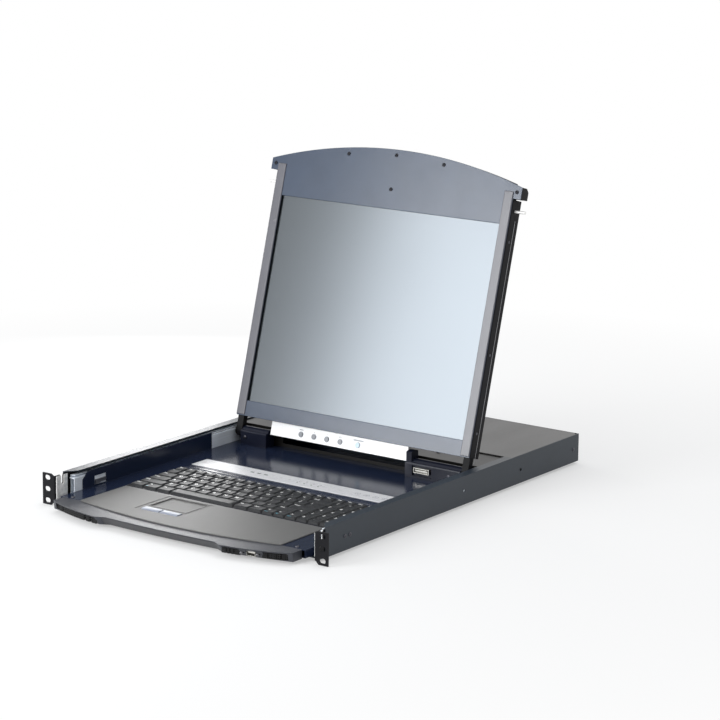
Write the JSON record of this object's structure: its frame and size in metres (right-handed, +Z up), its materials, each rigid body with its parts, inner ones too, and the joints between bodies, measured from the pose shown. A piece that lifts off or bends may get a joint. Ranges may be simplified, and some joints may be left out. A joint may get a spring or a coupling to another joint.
{
  "type": "rackmount lcd console drawer",
  "caption": "One-unit rack console: a sliding keyboard drawer with a pointing pad and a fold-down flat screen on friction hinges.",
  "frame": {"origin": "centre of the rack hole pattern, on the front face of the rack ears", "axes": "+X to the user's right, -Y out of the rack towards the user, +Z up"},
  "size_m": [0.4826, 0.6815, 0.4507],
  "materials": {
    "chassis_paint": "glossy dark navy enamel",
    "cover_paint": "glossy taupe-grey enamel",
    "ear_paint": "satin black powder coat",
    "zinc_plate": "zinc plated",
    "slide_steel": "zinc plated, drawn",
    "cage_steel": "zinc plated",
    "circuit_board": "green solder mask",
    "supply_steel": "galvanised sheet",
    "screw_steel": "black zinc",
    "port_plastic": "moulded connector",
    "inlet_plastic": "moulded black",
    "rocker_plastic": "moulded black",
    "tray_paint": "glossy dark navy enamel",
    "deck_rear_paint": "glossy taupe-grey enamel",
    "edge_plastic": "fine textured moulding",
    "grille_plastic": "black perforated",
    "grip_plastic": "soft matt grey",
    "usb_steel": "stamped shell",
    "palm_paint": "satin light grey",
    "pad_plastic": "fine matt touch surface",
    "pad_button_plastic": "glossy pale blue-grey",
    "keyboard_plastic": "black moulding",
    "key_plastic": "fine textured keys",
    "strip_silver": "satin silver strip",
    "pod_paint": "glossy navy enamel",
    "shaft_steel": "ground steel",
    "lcd_paint": "satin slate blue",
    "shell_paint": "satin black",
    "strip_paint": "satin slate grey",
    "screen_face": "satin glare screen, unlit",
    "module_steel": "display module can",
    "hinge_steel": "black zinc plated",
    "osd_plastic": "white moulding",
    "osd_button_plastic": "grey moulding",
    "power_button_plastic": "pale blue moulding",
    "catch_plastic": "black textured moulding",
    "catch_steel": "black lever with bright tab"
  },
  "bodies": {
    "chassis": {"base_pan": "chassis_paint", "side_rail_left": "chassis_paint", "side_rail_right": "chassis_paint", "rear_cover": "cover_paint", "rear_panel": "chassis_paint", "rear_ports": "port_plastic", "power_inlet": "inlet_plastic", "rack_ears": "ear_paint", "latch_plates": "zinc_plate", "slide_outers": "slide_steel", "main_board": "circuit_board", "power_supply": "supply_steel", "chassis_screws": "screw_steel"},
    "rocker": {"power_rocker": "rocker_plastic"},
    "mid_slides": {"slide_mids": "slide_steel", "ball_cages": "cage_steel"},
    "drawer": {"tray_deck": "tray_paint", "tray_bottom": "tray_paint", "rear_deck": "deck_rear_paint", "slide_inners": "slide_steel", "front_bezel": "edge_plastic", "front_grilles": "grille_plastic", "handle_grip": "grip_plastic", "usb_port": "usb_steel", "palm_rest": "palm_paint", "touchpad": "pad_plastic", "keyboard_plate": "keyboard_plastic", "port_strip": "strip_silver", "hinge_pod_left": "pod_paint", "hinge_pod_right": "pod_paint", "pod_port": "usb_steel", "hinge_shafts": "shaft_steel", "tray_screws": "screw_steel"},
    "catch_left": {"slide_catch_left": "catch_steel"},
    "catch_right": {"slide_catch_right": "catch_steel"},
    "pad_button_left": {"touchpad_button_left": "pad_button_plastic"},
    "pad_button_right": {"touchpad_button_right": "pad_button_plastic"},
    "screen": {"lcd_front_frame": "lcd_paint", "lcd_back_shell": "shell_paint", "lcd_side_strips": "strip_paint", "lcd_screen": "screen_face", "lcd_module": "module_steel", "hinge_frame": "hinge_steel", "osd_panel": "osd_plastic", "lcd_screws": "screw_steel"},
    "release_left": {"release_catch_left": "catch_plastic", "latch_pin_left": "zinc_plate"},
    "release_right": {"release_catch_right": "catch_plastic", "latch_pin_right": "zinc_plate"},
    "screen_power_button": {"power_button": "power_button_plastic"},
    "keys_1": {"key_row_1": "key_plastic"},
    "keys_2": {"key_row_2": "key_plastic"},
    "keys_3": {"key_row_3": "key_plastic"},
    "keys_4": {"key_row_4": "key_plastic"},
    "keys_5": {"key_row_5": "key_plastic"},
    "keys_6": {"key_row_6": "key_plastic"},
    "menu_button_1": {"osd_button_1": "osd_button_plastic"},
    "menu_button_2": {"osd_button_2": "osd_button_plastic"},
    "menu_button_3": {"osd_button_3": "osd_button_plastic"},
    "menu_button_4": {"osd_button_4": "osd_button_plastic"}
  },
  "joints": [
    {"name": "drawer_slide", "type": "slide", "parent": "chassis", "child": "drawer", "axis": [0, -1, 0], "range_m": [0, 0.42]},
    {"name": "mid_slide", "type": "slide", "parent": "chassis", "child": "mid_slides", "axis": [0, -1, 0], "range_m": [0, 0.21]},
    {"name": "screen_tilt", "type": "hinge", "parent": "drawer", "child": "screen", "pos_m": [0, 0.3794, 0.01125], "axis": [1, 0, 0], "range_deg": [-14.4, 105.63]},
    {"name": "power_switch", "type": "hinge", "parent": "chassis", "child": "rocker", "pos_m": [0.198, 0.625, 0.00075], "axis": [1, 0, 0], "range_deg": [0, 16]},
    {"name": "release_left_slide", "type": "slide", "parent": "screen", "child": "release_left", "axis": [1, 0, 0], "range_m": [0, 0.008], "stiffness_N_per_m": 300, "springref_m": -0.004},
    {"name": "catch_left_pivot", "type": "hinge", "parent": "drawer", "child": "catch_left", "pos_m": [-0.2057, 0.0865, 0.00065], "axis": [-1, 0, 0], "range_deg": [0, 8], "stiffness_Nm_per_rad": 0.05, "springref_deg": -5.73},
    {"name": "pad_button_left_press", "type": "slide", "parent": "drawer", "child": "pad_button_left", "axis": [0, 0, -1], "range_m": [0, 0.0008], "stiffness_N_per_m": 500, "springref_m": -0.0006},
    {"name": "release_right_slide", "type": "slide", "parent": "screen", "child": "release_right", "axis": [-1, 0, 0], "range_m": [0, 0.008], "stiffness_N_per_m": 300, "springref_m": -0.004},
    {"name": "catch_right_pivot", "type": "hinge", "parent": "drawer", "child": "catch_right", "pos_m": [0.2057, 0.0865, 0.00065], "axis": [-1, 0, 0], "range_deg": [0, 8], "stiffness_Nm_per_rad": 0.05, "springref_deg": -5.73},
    {"name": "pad_button_right_press", "type": "slide", "parent": "drawer", "child": "pad_button_right", "axis": [0, 0, -1], "range_m": [0, 0.0008], "stiffness_N_per_m": 500, "springref_m": -0.0006},
    {"name": "keys_1_press", "type": "slide", "parent": "drawer", "child": "keys_1", "axis": [0, 0, -1], "range_m": [0, 0.0022], "stiffness_N_per_m": 700, "springref_m": -0.0015},
    {"name": "keys_2_press", "type": "slide", "parent": "drawer", "child": "keys_2", "axis": [0, 0, -1], "range_m": [0, 0.0022], "stiffness_N_per_m": 700, "springref_m": -0.0015},
    {"name": "keys_3_press", "type": "slide", "parent": "drawer", "child": "keys_3", "axis": [0, 0, -1], "range_m": [0, 0.0022], "stiffness_N_per_m": 700, "springref_m": -0.0015},
    {"name": "keys_4_press", "type": "slide", "parent": "drawer", "child": "keys_4", "axis": [0, 0, -1], "range_m": [0, 0.0022], "stiffness_N_per_m": 700, "springref_m": -0.0015},
    {"name": "keys_5_press", "type": "slide", "parent": "drawer", "child": "keys_5", "axis": [0, 0, -1], "range_m": [0, 0.0022], "stiffness_N_per_m": 700, "springref_m": -0.0015},
    {"name": "keys_6_press", "type": "slide", "parent": "drawer", "child": "keys_6", "axis": [0, 0, -1], "range_m": [0, 0.0022], "stiffness_N_per_m": 700, "springref_m": -0.0015},
    {"name": "menu_button_1_press", "type": "slide", "parent": "screen", "child": "menu_button_1", "axis": [0, 0.963, -0.2694], "range_m": [0, 0.001], "stiffness_N_per_m": 400, "springref_m": -0.0006},
    {"name": "menu_button_2_press", "type": "slide", "parent": "screen", "child": "menu_button_2", "axis": [0, 0.963, -0.2694], "range_m": [0, 0.001], "stiffness_N_per_m": 400, "springref_m": -0.0006},
    {"name": "menu_button_3_press", "type": "slide", "parent": "screen", "child": "menu_button_3", "axis": [0, 0.963, -0.2694], "range_m": [0, 0.001], "stiffness_N_per_m": 400, "springref_m": -0.0006},
    {"name": "menu_button_4_press", "type": "slide", "parent": "screen", "child": "menu_button_4", "axis": [0, 0.963, -0.2694], "range_m": [0, 0.001], "stiffness_N_per_m": 400, "springref_m": -0.0006},
    {"name": "power_button_press", "type": "slide", "parent": "screen", "child": "screen_power_button", "axis": [0, 0.963, -0.2694], "range_m": [0, 0.001], "stiffness_N_per_m": 400, "springref_m": -0.0006}
  ],
  "couplings": [
    {"joint": "mid_slide", "follows": "drawer_slide", "ratio": 0.5}
  ]
}
